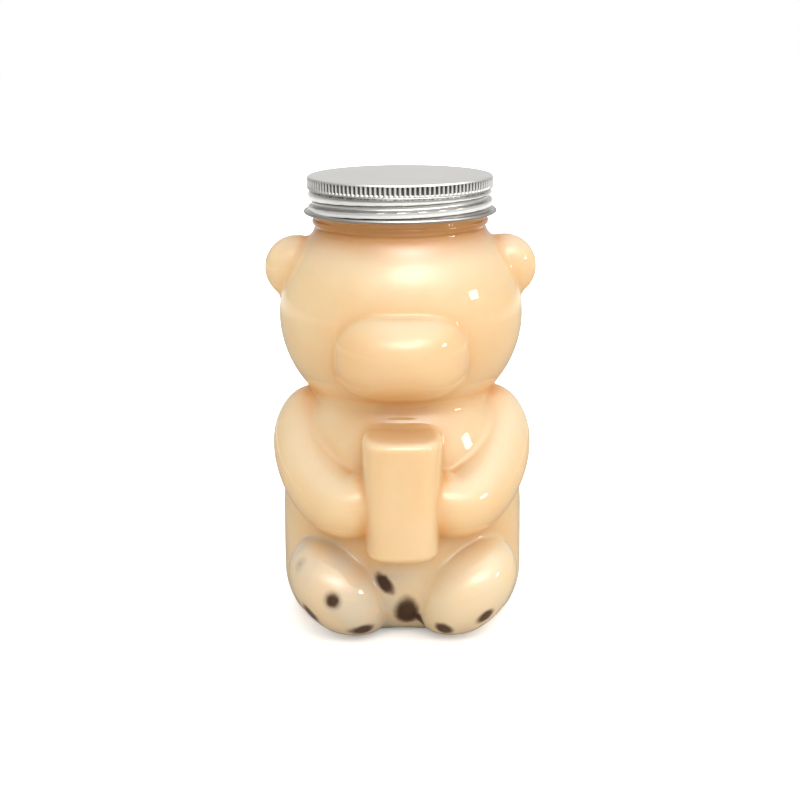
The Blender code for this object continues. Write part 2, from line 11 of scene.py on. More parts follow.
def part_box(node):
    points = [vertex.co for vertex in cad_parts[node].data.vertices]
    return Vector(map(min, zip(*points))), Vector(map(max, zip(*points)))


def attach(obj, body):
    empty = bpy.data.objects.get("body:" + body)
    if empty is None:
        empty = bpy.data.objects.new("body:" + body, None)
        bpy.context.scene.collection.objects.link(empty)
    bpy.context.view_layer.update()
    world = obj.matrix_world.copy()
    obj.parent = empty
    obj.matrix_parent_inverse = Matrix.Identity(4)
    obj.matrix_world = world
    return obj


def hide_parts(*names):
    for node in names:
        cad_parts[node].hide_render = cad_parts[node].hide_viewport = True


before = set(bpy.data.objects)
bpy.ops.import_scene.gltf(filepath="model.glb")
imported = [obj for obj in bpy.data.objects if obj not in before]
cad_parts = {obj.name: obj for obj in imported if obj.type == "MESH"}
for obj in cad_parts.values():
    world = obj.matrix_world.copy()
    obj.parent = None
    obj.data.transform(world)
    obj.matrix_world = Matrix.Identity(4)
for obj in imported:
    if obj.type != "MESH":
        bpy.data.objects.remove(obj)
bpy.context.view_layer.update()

# Sizes of the bear in metres, round its upright axis. It faces -Y
AXIS_Y = 0.0064
WALL = 0.0009
DRINK_DEPTH = 0.00085
WELD = 1e-7
NECK_BASE_Z = 0.1300
RIM_Z = 0.1454
BORE_RADIUS = 0.0259
FILL_Z, FILL_DIP, DRINK_OVERLAP = 0.1385, 0.0004, 0.00004
FOLD, BROAD_FOLD, MUZZLE_FOLD = 0.0018, 0.0035, 0.0011
TRUNK_RADIUS, TRUNK_DEPTH = 0.0398, 0.0365
SHOULDER_LOW_Z, SHOULDER_HEIGHT = 0.0360, 0.0570
HEEL_HEIGHT, HEEL_INSET, NOTCH_INSET = 0.0160, 0.0055, 0.0065
HEAD_CENTRE, HEAD_RADII = (0, 0, 0.1020), (0.0400, 0.0372, 0.0375)
NECK_RADIUS = 0.0274
MUZZLE_CENTRE = (0, -0.0268, 0.0936)
MUZZLE_HALF_WIDTH, MUZZLE_DEPTH, MUZZLE_HALF_HEIGHT, MUZZLE_POWER = 0.0218, 0.0200, 0.0156, 2.6
EAR_CENTRE, EAR_RADII = (0.0340, 0, 0.1170), (0.0106, 0.0080, 0.0106)
FOOT_CENTRE, FOOT_RADII, FOOT_LEAN = (0.0205, -0.0262, 0.0155), (0.0133, 0.0190, 0.0192), math.radians(47)
CUP_LOW_Z, CUP_HEIGHT, CUP_MIDDLE_Z, CUP_HALF_HEIGHT = 0.0300, 0.0392, 0.0496, 0.0196
CUP_LOW_HALF_WIDTH, CUP_WIDENING, CUP_Y, CUP_HALF_DEPTH = 0.0115, 0.0013, -0.0360, 0.0140
CUP_EDGE = 0.0026
BASE_HOLLOW_RADIUS, BASE_HOLLOW_HEIGHT, HEEL_ROUNDING = 0.0222, 0.0030, 0.0040
ARM_BALLS = (
    (0.0283, 0.0000, 0.0648, 0.0125),
    (0.0294, -0.0110, 0.0558, 0.0124),
    (0.0234, -0.0265, 0.0472, 0.0114),
    (0.0140, -0.0340, 0.0455, 0.0104),
)
# Sizes of the neck's thread and of the lid
THREAD_ROOT, THREAD_RISE = 0.0277, 0.0014
PITCH = 0.0040
THREAD_FRONT_Z, THREAD_LOW_Z, THREAD_HIGH_Z = 0.1375, 0.1340, 0.1430
THREAD_ABOVE, THREAD_BELOW, THREAD_HALF_WIDTH = 0.78, 0.45, 0.0011
GROOVE_ABOVE, GROOVE_BELOW, GROOVE_HALF_WIDTH, GROOVE_DEPTH = 0.32, 1.20, 0.0010, 0.0012
THREAD_FADE = 0.10
LID_TOP_Z, LID_CEILING_Z, LID_LOW_Z = 0.1471, 0.1468, 0.1349
LID_WALL, LID_SHEET = 0.0297, 0.0003
ROLLED_HIGH_Z, ROLLED_LOW_Z, BEAD_HALF_WIDTH, BEAD_HALF_HEIGHT = 0.1415, 0.1360, 0.0008, 0.0006
KNURLS, KNURL_COLUMNS, KNURL_CREST, KNURL_DEPTH = 120, 8, 0.0303, 0.0006
PEARLS, PEARL_RADIUS, PEARL_DEPTH = 9, 0.0036, 0.0003
# How dark the lid's metal is drawn: its tone on plain faces, and painted shade between the ridges and on the
# bead
PLAIN_DARKNESS, WALL_SHADE, BEAD_SHADE = 0.42, 0.48, 0.60
TEA_LOW, TEA_HIGH = "FCD9A6", "FEE3B8"
# Painted shade in folds and below, painted light on top, painted shade at the neck and the lid's painted
# shadow
TEA_SHADE, TEA_TOP_LIGHT, TEA_NECK_SHADOW, TEA_LID_SHADOW = "FFC072", "FFF1D8", "E3A45E", "E09C52"
MILK_WARM, MILK_GREY = "F5E8CE", "DFD6C3"
SPOT_HALO, SPOT_CORE = "8F7256", "4A2A14"
# Painted shade in folds: how far off, in metres, other skin deepens the colour of a fold, and by how much
FOLD_REACHES = ((0.003, 0.40), (0.008, 0.42), (0.018, 0.38))


# Fields: signed distances in metres, below nought inside the form

def blend(first, second, softness):
    """Union of two forms with a soft fold between them."""
    overlap = np.maximum(softness - np.abs(first - second), 0) / softness
    return np.minimum(first, second) - overlap**2 * softness / 4


def ellipsoid(points, centre, radii, lean=0.0):
    offset = points - np.array(centre)
    x = offset[..., 0] * math.cos(lean) - offset[..., 2] * math.sin(lean)
    z = offset[..., 0] * math.sin(lean) + offset[..., 2] * math.cos(lean)
    turned = np.stack([x, offset[..., 1], z], axis=-1)
    scaled = np.linalg.norm(turned / radii, axis=-1)
    slope = np.linalg.norm(turned / np.square(radii), axis=-1)
    return scaled * (scaled - 1) / np.maximum(slope, 1e-6)


def trunk(points):
    x, y, z = np.moveaxis(points, -1, 0)
    reach = np.hypot(x, y * TRUNK_RADIUS / TRUNK_DEPTH)
    below = np.clip(1 - z / HEEL_HEIGHT, 0, 1)
    above = np.clip((z - SHOULDER_LOW_Z) / SHOULDER_HEIGHT, 0, 0.999)
    # The base draws in most at the front, between the feet
    notch = NOTCH_INSET * np.exp(-((x / 0.0120) ** 2)) * np.clip(-y / 0.004, 0, 1)
    return reach - TRUNK_RADIUS * np.sqrt(1 - above**2) + (HEEL_INSET + notch) * below**2.2


def head(points):
    skull = ellipsoid(points, HEAD_CENTRE, HEAD_RADII)
    neck = np.hypot(points[..., 0], points[..., 1]) - NECK_RADIUS
    neck = np.maximum(neck, HEAD_CENTRE[2] - points[..., 2])
    return blend(skull, neck, BROAD_FOLD)


def muzzle(points):
    x, y, z = np.abs(np.moveaxis(points - MUZZLE_CENTRE, -1, 0))
    face = (x / MUZZLE_HALF_WIDTH) ** MUZZLE_POWER + (z / MUZZLE_HALF_HEIGHT) ** MUZZLE_POWER
    return (np.hypot(face ** (1 / MUZZLE_POWER), y / MUZZLE_DEPTH) - 1) * MUZZLE_HALF_HEIGHT


def arm(points, side):
    """Round arm along a curve through four balls, given by their middles and radii."""
    balls = np.array(ARM_BALLS) * (side, 1, 1, 1)
    first = (-5 * balls[0] + 18 * balls[1] - 9 * balls[2] + 2 * balls[3]) / 6
    second = (2 * balls[0] - 9 * balls[1] + 18 * balls[2] - 5 * balls[3]) / 6
    t = np.linspace(0, 1, 40)[:, None]
    path = (1 - t) ** 3 * balls[0] + 3 * t * (1 - t) ** 2 * first
    path = path + 3 * t**2 * (1 - t) * second + t**3 * balls[3]
    nearest = np.full(points.shape[:-1], np.inf)
    for start, end in zip(path, path[1:]):
        run = end[:3] - start[:3]
        share = np.clip((points - start[:3]) @ run / (run @ run), 0, 1)
        off = np.linalg.norm(points - start[:3] - share[..., None] * run, axis=-1)
        nearest = np.minimum(nearest, off - start[3] - share * (end[3] - start[3]))
    return nearest


def cup(points):
    x, y, z = np.moveaxis(points, -1, 0)
    half_width = CUP_LOW_HALF_WIDTH + CUP_WIDENING * (z - CUP_LOW_Z) / CUP_HEIGHT
    across = np.abs(x / half_width) ** 3
    along = np.abs((y - CUP_Y) / CUP_HALF_DEPTH) ** 3
    side = ((across + along) ** (1 / 3) - 1) * half_width + CUP_EDGE
    end = np.abs(z - CUP_MIDDLE_Z) - CUP_HALF_HEIGHT + CUP_EDGE
    inside = np.minimum(np.maximum(side, end), 0)
    return inside + np.hypot(np.maximum(side, 0), np.maximum(end, 0)) - CUP_EDGE


def beside(centre, side):
    """A place on the bear's left side (1), or its mirror image (-1)."""
    return (side * centre[0], *centre[1:])


def foot(points, side):
    return ellipsoid(points, beside(FOOT_CENTRE, side), FOOT_RADII, side * FOOT_LEAN)


def bear(points):
    skin = blend(trunk(points), head(points), BROAD_FOLD)
    skin = blend(skin, muzzle(points), MUZZLE_FOLD)
    for side in (-1, 1):
        skin = blend(skin, ellipsoid(points, beside(EAR_CENTRE, side), EAR_RADII), FOLD)
        skin = blend(skin, arm(points, side), FOLD)
        skin = blend(skin, foot(points, side), FOLD)
    return blend(skin, cup(points), FOLD)


def vessel(points):
    """The bear cut off by the hollow of its base, with a rounded heel."""
    reach = np.hypot(points[..., 0], points[..., 1]) / BASE_HOLLOW_RADIUS
    floor = BASE_HOLLOW_HEIGHT * np.clip(1 - reach**2, 0, 1) ** 2 - points[..., 2]
    return -blend(-bear(points), -floor, HEEL_ROUNDING)


def tones(points):
    """The drink's colours at points of its skin: painted shade in folds and below, milky in the feet, painted
    light on top.
    """
    slope = gradient(bear, points)
    facing = slope / np.maximum(np.linalg.norm(slope, axis=-1), 1e-6)[:, None]
    fold = np.zeros(len(points))
    for reach, weight in FOLD_REACHES:
        free = (bear(points + facing * reach) + DRINK_DEPTH) / reach
        fold += weight * np.clip(1 - free, 0, 1)
    # Painted shade: a deeper colour in folds and on down-facing skin
    shade = np.clip(0.95 * fold + 0.48 * np.clip(-facing[:, 2], 0, 1) - 0.04, 0, 1)
    # Painted light: paler on up-facing skin that no fold hems in
    painted_light = np.clip(facing[:, 2], 0, 1) * np.clip(1 - fold, 0, 1)
    # Milk lies in both feet and between them, and more of it on the bear's right side
    x, y, z = points.T
    feet = np.minimum(foot(points, -1), foot(points, 1))
    between = np.clip((0.0270 - z) / 0.0050, 0, 1) * np.clip((-0.0200 - y) / 0.0060, 0, 1)
    between *= np.clip((0.0240 - np.abs(x)) / 0.0040, 0, 1)
    milk = np.maximum(np.clip(1.1 - feet / 0.0022, 0, 1), between)
    return shade * (1 - 0.75 * milk), milk * (0.62 - 0.14 * np.tanh(x / 0.006)), painted_light


# Meshing

def gradient(field, points, step=2e-5):
    parts = [field(points + step * axis) - field(points - step * axis) for axis in np.eye(3)]
    return np.stack(parts, -1) / (2 * step)


def settle(field, points, level, rounds=4):
    """Moves points onto the field's level."""
    for _ in range(rounds):
        slope = gradient(field, points)
        size = np.maximum((slope**2).sum(-1), 0.1)
        points = points - slope * ((field(points) - level) / size)[..., None]
    return points


def surface_net(field, low, high, step):
    """Quads of the surface where the field is nought, one point for each crossed grid cell."""
    coarse = 4
    axes = [a + step * np.arange(math.ceil((b - a) / step / coarse) * coarse) for a, b in zip(low, high)]
    middles = [a.reshape(-1, coarse).mean(1) for a in axes]
    rough = field(np.stack(np.meshgrid(*middles, indexing="ij"), -1))
    for axis in range(3):
        rough = np.repeat(rough, coarse, axis)
    near = np.abs(rough) < step * coarse * 1.6
    values = np.where(near, 0.0, rough)
    grid = np.stack(np.meshgrid(*axes, indexing="ij"), -1)
    values[near] = field(grid[near])
    inside = values < 0
    nx, ny, nz = (n - 1 for n in inside.shape)
    corners = [(i, j, k) for i in (0, 1) for j in (0, 1) for k in (0, 1)]
    count = sum(inside[i : i + nx, j : j + ny, k : k + nz].astype(int) for i, j, k in corners)
    active = (count > 0) & (count < 8)
    number = np.full(active.shape, -1)
    number[active] = np.arange(active.sum())
    cells = np.argwhere(active)
    total = np.zeros((len(cells), 3))
    hits = np.zeros(len(cells))
    for a in corners:
        for axis in range(3):
            if a[axis]:
                continue
            b = list(a)
            b[axis] = 1
            ia, ib = cells + a, cells + b
            va, vb = values[tuple(ia.T)], values[tuple(ib.T)]
            crossed = (va < 0) != (vb < 0)
            share = np.where(crossed, va / np.where(crossed, va - vb, 1), 0)[:, None]
            total += np.where(crossed[:, None], ia + share * (ib - ia), 0)
            hits += crossed
    points = np.array([a[0] for a in axes]) + total / hits[:, None] * step
    quads = []
    for axis in range(3):
        one, two = [k for k in range(3) if k != axis]
        ends = [slice(None)] * 3
        starts = [slice(None)] * 3
        ends[axis], starts[axis] = slice(1, None), slice(None, -1)
        change = inside[tuple(starts)] != inside[tuple(ends)]
        edges = np.argwhere(change)
        edges = edges[(edges[:, one] > 0) & (edges[:, two] > 0)]
        edges = edges[(edges[:, one] < active.shape[one]) & (edges[:, two] < active.shape[two])]
        step_one, step_two = np.eye(3, dtype=int)[one], np.eye(3, dtype=int)[two]
        around = [edges - step_one - step_two, edges - step_two, edges, edges - step_one]
        quad = np.stack([number[tuple(cell.T)] for cell in around], -1)
        forward = inside[tuple(edges.T)] == (axis != 1)
        quads.append(np.where(forward[:, None], quad, quad[:, ::-1]))
    return points, np.concatenate(quads)


def mesh_of(name, points, faces):
    mesh = bpy.data.meshes.new(name)
    mesh.from_pydata([tuple(map(float, p)) for p in points], [], [tuple(map(int, f)) for f in faces])
    return mesh


def cut_open(points, quads, height):
    """A bmesh of the surface below a height, with its open edge there."""
    mesh = mesh_of("raw", points, quads)
    work = bmesh.new()
    work.from_mesh(mesh)
    bpy.data.meshes.remove(mesh)
    geometry = work.verts[:] + work.edges[:] + work.faces[:]
    place = {"plane_co": (0, 0, height), "plane_no": (0, 0, 1)}
    bmesh.ops.bisect_plane(work, geom=geometry, clear_outer=True, dist=WELD, **place)
    return work


def ring(radius, z, columns):
    """Points round the axis at one height, with one radius or one for each column."""
    radii = np.broadcast_to(radius, columns)
    turns = 2 * math.pi * np.arange(columns) / columns
    return np.stack([radii * np.cos(turns), radii * np.sin(turns), np.full(columns, z)], -1)


def add_rings(work, rings, cap=None):
    """Adds a loft through rings to the bmesh, and gives the vertices of its first ring and its last one."""
    rows = [[work.verts.new(p) for p in r] for r in rings]
    for low, high in zip(rows, rows[1:]):
        for i, j in zip(range(len(low)), [*range(1, len(low)), 0]):
            work.faces.new((low[i], low[j], high[j], high[i]))
    if cap is not None:
        tip, last = work.verts.new(cap), rows[-1]
        for i, j in zip(range(len(last)), [*range(1, len(last)), 0]):
            work.faces.new((last[i], last[j], tip))
    return rows[0], rows[-1]


def cut_loop(work, height):
    return [v for v in work.verts if v.is_boundary and abs(v.co.z - height) < 1e-6]


def stitch(work, first, second):
    """Triangles between two loops round the axis, taken in order of their angles."""
    loops = []
    for loop in (first, second):
        turned = sorted((math.atan2(v.co.y, v.co.x), k) for k, v in enumerate(loop))
        around = [(angle, loop[k]) for angle, k in turned]
        loops.append(around + [(around[0][0] + 2 * math.pi, around[0][1])])
    a, b = loops
    i = j = 0
    while i < len(a) - 1 or j < len(b) - 1:
        if j == len(b) - 1 or (i < len(a) - 1 and a[i + 1][0] <= b[j + 1][0]):
            work.faces.new((a[i][1], a[i + 1][1], b[j][1]))
            i += 1
        else:
            work.faces.new((a[i][1], b[j + 1][1], b[j][1]))
            j += 1


def finish_piece(name, work, material, body, replaced, sharp=40.0):
    """Makes the bmesh a piece that rides a body and takes the place of CAD nodes."""
    bmesh.ops.remove_doubles(work, verts=work.verts, dist=WELD)
    bmesh.ops.recalc_face_normals(work, faces=work.faces)
    if work.calc_volume(signed=True) < 0:
        bmesh.ops.reverse_faces(work, faces=work.faces)
    mesh = bpy.data.meshes.new(name)
    work.to_mesh(mesh)
    work.free()
    mesh.transform(Matrix.Translation((0, AXIS_Y, 0)))
    mesh.shade_smooth()
    mesh.set_sharp_from_angle(angle=math.radians(sharp))
    mesh.materials.append(material)
    obj = bpy.data.objects.new(name, mesh)
    bpy.context.scene.collection.objects.link(obj)
    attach(obj, body)
    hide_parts(*replaced)


# Materials

class Nodes:
    """Short calls for building a node tree, from plain values and sockets."""

    def __init__(self, owner):
        owner.use_nodes = True
        self.owner = owner
        self.tree = owner.node_tree
        self.shader = self.tree.nodes.get("Principled BSDF") or self.tree.nodes["Background"]

    def node(self, kind, inputs=(), **settings):
        node = self.tree.nodes.new(kind)
        for key, value in settings.items():
            setattr(node, key, value)
        for key, value in dict(inputs).items():
            self.put(node.inputs[key], value)
        return node

    def put(self, socket, value):
        if isinstance(value, bpy.types.NodeSocket):
            self.tree.links.new(value, socket)
        else:
            socket.default_value = value

    def set(self, **values):
        for key, value in values.items():
            self.put(self.shader.inputs[key.replace("_", " ")], value)

    def math(self, operation, a, b=0.0, c=0.0):
        return self.node("ShaderNodeMath", {0: a, 1: b, 2: c}, operation=operation).outputs[0]

    def vector(self, operation, a, b=(0, 0, 0)):
        node = self.node("ShaderNodeVectorMath", {0: a, 1: b}, operation=operation)
        return node.outputs["Value" if operation in ("DOT_PRODUCT", "LENGTH") else "Vector"]

    def attribute(self, name):
        return self.node("ShaderNodeAttribute", attribute_name=name).outputs["Fac"]

    def place(self, kind="Object"):
        return self.node("ShaderNodeTexCoord").outputs[kind]

    def axes(self, vector):
        return self.node("ShaderNodeSeparateXYZ", {"Vector": vector}).outputs

    def noise(self, scale, detail=3.0, roughness=0.5, vector=None):
        inputs = {"Vector": vector or self.place(), "Scale": scale, "Detail": detail, "Roughness": roughness}
        return self.node("ShaderNodeTexNoise", inputs).outputs["Fac"]

    def span(self, value, low, high, out_low=0.0, out_high=1.0):
        """Eases from one value to another while the first runs from low to high."""
        inputs = {"Value": value, "From Min": low, "From Max": high, "To Min": out_low, "To Max": out_high}
        return self.node("ShaderNodeMapRange", inputs, interpolation_type="SMOOTHSTEP").outputs["Result"]

    def mix(self, factor, first, second, blend_type="MIX"):
        node = self.node("ShaderNodeMix", data_type="RGBA", blend_type=blend_type)
        for socket, value in ((node.inputs[0], factor), (node.inputs[6], first), (node.inputs[7], second)):
            self.put(socket, value)
        return node.outputs[2]

    def seen_by(self, kind):
        """1 for rays of this kind, 0 for the others."""
        return self.node("ShaderNodeLightPath").outputs[f"Is {kind} Ray"]

    def mirror_only(self):
        """1 for rays that come off a glossy surface, 0 for those that pass through one and for the others."""
        passed = self.math("SUBTRACT", 1.0, self.seen_by("Transmission"))
        return self.math("MULTIPLY", self.seen_by("Glossy"), passed)

    def bump(self, height, distance, strength=1.0):
        node = self.node("ShaderNodeBump", {"Height": height, "Distance": distance, "Strength": strength})
        self.put(self.shader.inputs["Normal"], node.outputs["Normal"])


def new_look(name):
    return Nodes(bpy.data.materials.new(name))


def colour(hex_code):
    """Linear colour with alpha from an sRGB code."""
    channels = [int(hex_code[i : i + 2], 16) / 255 for i in (0, 2, 4)]
    return (*[c / 12.92 if c <= 0.04045 else ((c + 0.055) / 1.055) ** 2.4 for c in channels], 1.0)


def clear_plastic():
    m = new_look("clear_plastic_look")
    m.set(Base_Color=colour("FEFEFD"), Roughness=0.03, Transmission_Weight=1.0, IOR=1.42)
    m.bump(m.noise(70.0, 2.0), 0.0002, 0.25)
    return m.owner


def milk_tea(spots):
    """Warm tea with painted shade in its folds and painted light on top, milky in the feet, and dark where
    each pearl shows through.
    """
    m = new_look("milk_tea_look")
    place = m.place()
    z = m.axes(place)["Z"]
    swirl = m.noise(38.0, 3.0, 0.55, place)
    tea = m.mix(m.span(swirl, 0.30, 0.72), colour(TEA_LOW), colour(TEA_HIGH))
    # Painted shade towards the neck, and the lid's painted shadow under it
    tea = m.mix(m.span(z, 0.1205, 0.1275, 0.0, 0.60), tea, colour(TEA_NECK_SHADOW))
    tea = m.mix(m.span(z, 0.1262, 0.1292, 0.0, 0.68), tea, colour(TEA_LID_SHADOW))
    # Painted light on up-facing skin
    tea = m.mix(m.span(m.attribute("painted_light"), 0.10, 0.80, 0.0, 0.50), tea, colour(TEA_TOP_LIGHT))
    # Painted shade in folds and on down-facing skin
    tea = m.mix(m.math("MULTIPLY", m.attribute("shade"), 0.80), tea, colour(TEA_SHADE))
    # The milk lies in clouds, and is greyer where there is more of it
    clouds = m.noise(95.0, 2.0, 0.5, place)
    milk = m.attribute("milk")
    milk_colour = m.mix(m.span(milk, 0.48, 0.74), colour(MILK_WARM), colour(MILK_GREY))
    tea = m.mix(m.math("MULTIPLY", milk, m.span(clouds, 0.36, 0.60, 0.95, 0.45)), tea, milk_colour)
    ragged = m.math("MULTIPLY", m.math("SUBTRACT", m.noise(420.0, 3.0, 0.6, place), 0.5), 0.0010)
    for centre, core, soft, strength, long_way in spots:
        away = m.vector("SUBTRACT", place, centre)
        along = m.vector("DOT_PRODUCT", away, long_way)
        far = m.vector("DOT_PRODUCT", away, away)
        squared = m.math("SUBTRACT", far, m.math("MULTIPLY", along, along))
        gap = m.math("ADD", m.math("SQRT", m.math("MAXIMUM", squared, 0.0)), ragged)
        halo = m.span(gap, soft, core * 0.7, 0.0, strength * 0.75)
        tea = m.mix(halo, tea, colour(SPOT_HALO), "MULTIPLY")
        tea = m.mix(m.span(gap, core * 1.40, core * 0.65, 0.0, strength), tea, colour(SPOT_CORE))
    m.set(Base_Color=tea, Roughness=0.45, Specular_IOR_Level=0.2, IOR=1.34)
    m.set(Subsurface_Weight=0.30, Subsurface_Scale=0.005)
    m.shader.inputs["Subsurface Radius"].default_value = (1.0, 0.6, 0.35)
    return m.owner


def tapioca():
    m = new_look("tapioca_look")
    spots = m.noise(400.0, 3.0)
    m.set(Base_Color=m.mix(spots, colour("1E120C"), colour("38221A")))
    m.set(Roughness=m.span(spots, 0.3, 0.7, 0.14, 0.26))
    m.bump(m.noise(260.0, 2.0), 0.0003, 0.5)
    return m.owner


def satin_aluminium():
    """Satin metal, darkened by painted shade where it lies deep between the knurls and in the creases."""
    m = new_look("satin_aluminium_look")
    place = m.place()
    grain = m.noise(900.0, 4.0, 0.6, place)
    cloud = m.noise(60.0, 2.0, 0.5, place)
    painted_shade = m.attribute("lid_shade")
    metal = m.mix(cloud, colour("F8F6F2"), colour("FFFEFA"))
    # Painted shade: the lid_shade attribute mixes the metal towards a dark grey-brown
    m.set(Metallic=1.0, Base_Color=m.mix(m.span(painted_shade, 0.2, 0.9, 0.0, 0.95), metal, colour("3C3733")))
    m.set(Roughness=m.span(m.math("ADD", grain, cloud), 0.7, 1.3, 0.31, 0.36))
    m.bump(grain, 0.000006, 0.25)
    return m.owner


def seal_foam():
    m = new_look("seal_foam_look")
    cells = m.noise(2200.0, 4.0)
    m.set(Base_Color=m.mix(cells, colour("E4E3DE"), colour("F0EFEB")), Roughness=0.75)
    m.bump(cells, 0.00008, 0.6)
    return m.owner


# Pieces

def thread_height(turns, z):
    """Share of the neck's right-hand thread at one height and at angles in turns from the front."""
    most = np.zeros(len(turns))
    for lap in (-1, 0):
        along = turns + lap
        fade = np.clip(np.minimum(THREAD_ABOVE - along, along + THREAD_BELOW) / THREAD_FADE, 0, 1)
        off = np.clip(np.abs(z - THREAD_FRONT_Z - PITCH * along) / THREAD_HALF_WIDTH, 0, 1)
        most = np.maximum(most, (0.5 + 0.5 * np.cos(math.pi * off)) * fade)
    return most


def groove_depth(turns, z):
    """How deep the lid's rolled thread lies at one height, and how much painted shade darkens the metal
    there.
    """
    deepest, groove_shade, ridge = np.zeros((3, len(turns)))
    for lap in (-2, -1, 0):
        along = turns + lap
        off = (z - THREAD_FRONT_Z - PITCH / 2 - PITCH * along) / GROOVE_HALF_WIDTH
        fade = np.clip(np.minimum(GROOVE_ABOVE - along, along + GROOVE_BELOW) / THREAD_FADE, 0, 1)
        reach = np.clip(np.where(off > 0, off / 1.05, -off / 1.15), 0, 1)
        deepest = np.maximum(deepest, (1 - reach**2.6) * fade)
        # Painted shade: a dark line along the groove's upper flank and a weaker one under it
        upper = np.clip(1.3 - np.abs(off - 0.86) / 0.30, 0, 1)
        lower = np.clip(0.55 - np.abs(off + 1.08) / 0.30, 0, 1)
        groove_shade = np.maximum(groove_shade, np.maximum(upper, lower) * fade)
        # Painted shade over the wall between the ridges, lifted on the ridges' crests
        ridge = np.maximum(ridge, np.clip(1.4 - np.abs(off - 1.55) / 0.45, 0, 1) * fade)
    return deepest, np.maximum(groove_shade, WALL_SHADE * (1 - ridge))


def turns_from_front(columns):
    """The angle of each column of a ring, in turns from the front towards the bear's left."""
    return (np.arange(columns) / columns - 0.75) % 1.0


def build_bottle(material, outer_net, inner_net):
    """The clear shell: outer and inner skins, joined by the neck with its ring, thread, lip and bore."""
    work = cut_open(*outer_net, NECK_BASE_Z)
    inner = cut_open(*inner_net, NECK_BASE_Z - WALL)
    mesh = bpy.data.meshes.new("inner")
    inner.to_mesh(mesh)
    inner.free()
    work.from_mesh(mesh)
    bpy.data.meshes.remove(mesh)
    columns = 240
    turns = turns_from_front(columns)
    profile = (
        (0.1303, 0.0272),
        (0.1313, 0.0271),
        (0.1315, 0.0284),
        (0.1317, 0.0287),
        (0.1320, 0.0288),
        (0.1325, 0.0288),
        (0.1328, 0.0287),
        (0.1330, 0.0284),
        (0.1331, 0.0279),
        (0.1334, THREAD_ROOT),
    )
    rings = [ring(r, z, columns) for z, r in profile]
    for z in np.linspace(THREAD_LOW_Z, THREAD_HIGH_Z, 42):
        rings.append(ring(THREAD_ROOT + THREAD_RISE * thread_height(turns, z), z, columns))
    lip = ((0.0005, 0.0277), (0.0001, 0.0275), (0, 0.0272), (0, 0.0264), (0.0001, 0.0261), (0.0005, 0.0259))
    rings.extend(ring(r, RIM_Z - drop, columns) for drop, r in lip)
    rings.extend(ring(BORE_RADIUS, z, columns) for z in np.linspace(0.1440, NECK_BASE_Z + 0.0004, 8))
    low, high = cut_loop(work, NECK_BASE_Z), cut_loop(work, NECK_BASE_Z - WALL)
    first, last = add_rings(work, rings)
    stitch(work, low, first)
    stitch(work, high, last)
    finish_piece("clear_shell", work, material, "bottle", ["bottle"])


def build_drink(material, net):
    """The drink under the shell's inner skin and up to the fill line, with the tones of its skin: painted
    shade, painted light and milk.
    """
    work = cut_open(*net, NECK_BASE_Z - WALL)
    columns = 180
    radius = BORE_RADIUS + DRINK_OVERLAP
    level = FILL_Z - FILL_DIP
    rings = [ring(radius, z, columns) for z in (NECK_BASE_Z + 0.0004, 0.1330, 0.1360, FILL_Z)]
    rings.append(ring(radius - 0.0004, FILL_Z - 0.0003, columns))
    rings.extend(ring(r, level, columns) for r in (radius - 0.0012, 0.018, 0.009))
    low = cut_loop(work, NECK_BASE_Z - WALL)
    first, _ = add_rings(work, rings, (0, 0, level))
    stitch(work, low, first)
    found = tones(np.array([v.co for v in work.verts]))
    for name in ("shade", "milk", "painted_light"):
        work.verts.layers.float.new(name)
    for name, values in zip(("shade", "milk", "painted_light"), found):
        layer = work.verts.layers.float[name]
        for vertex, value in zip(work.verts, values):
            vertex[layer] = float(value)
    finish_piece("milk_tea_body", work, material, "bottle", ["milk_tea"])


def pearl_centre(number):
    low, high = (np.array(c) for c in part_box(f"tapioca_pearl_{number:02d}"))
    return (low + high) / 2 - (0, AXIS_Y, 0)


def build_pearl(number, material):
    """A slightly uneven pearl in the place of its CAD ball, pressed flat at the drink's skin."""
    work = bmesh.new()
    bmesh.ops.create_icosphere(work, subdivisions=4, radius=PEARL_RADIUS)
    shift = Vector((number * 1.7, number * 2.3, number * 0.9))
    for vertex in work.verts:
        vertex.co *= 0.975 + 0.025 * noise.noise(vertex.co / PEARL_RADIUS * 1.3 + shift)
    bmesh.ops.translate(work, verts=work.verts, vec=Vector(pearl_centre(number)))
    points = np.array([v.co for v in work.verts])
    slope = gradient(bear, points)
    slope /= np.maximum(np.linalg.norm(slope, axis=-1), 1e-6)[:, None]
    over = np.maximum(bear(points) + DRINK_DEPTH + PEARL_DEPTH, 0)
    for vertex, point in zip(work.verts, points - slope * over[:, None]):
        vertex.co = Vector(point)
    node = f"tapioca_pearl_{number:02d}"
    finish_piece(f"pearl_{number:02d}", work, material, "bottle", [node], 180)


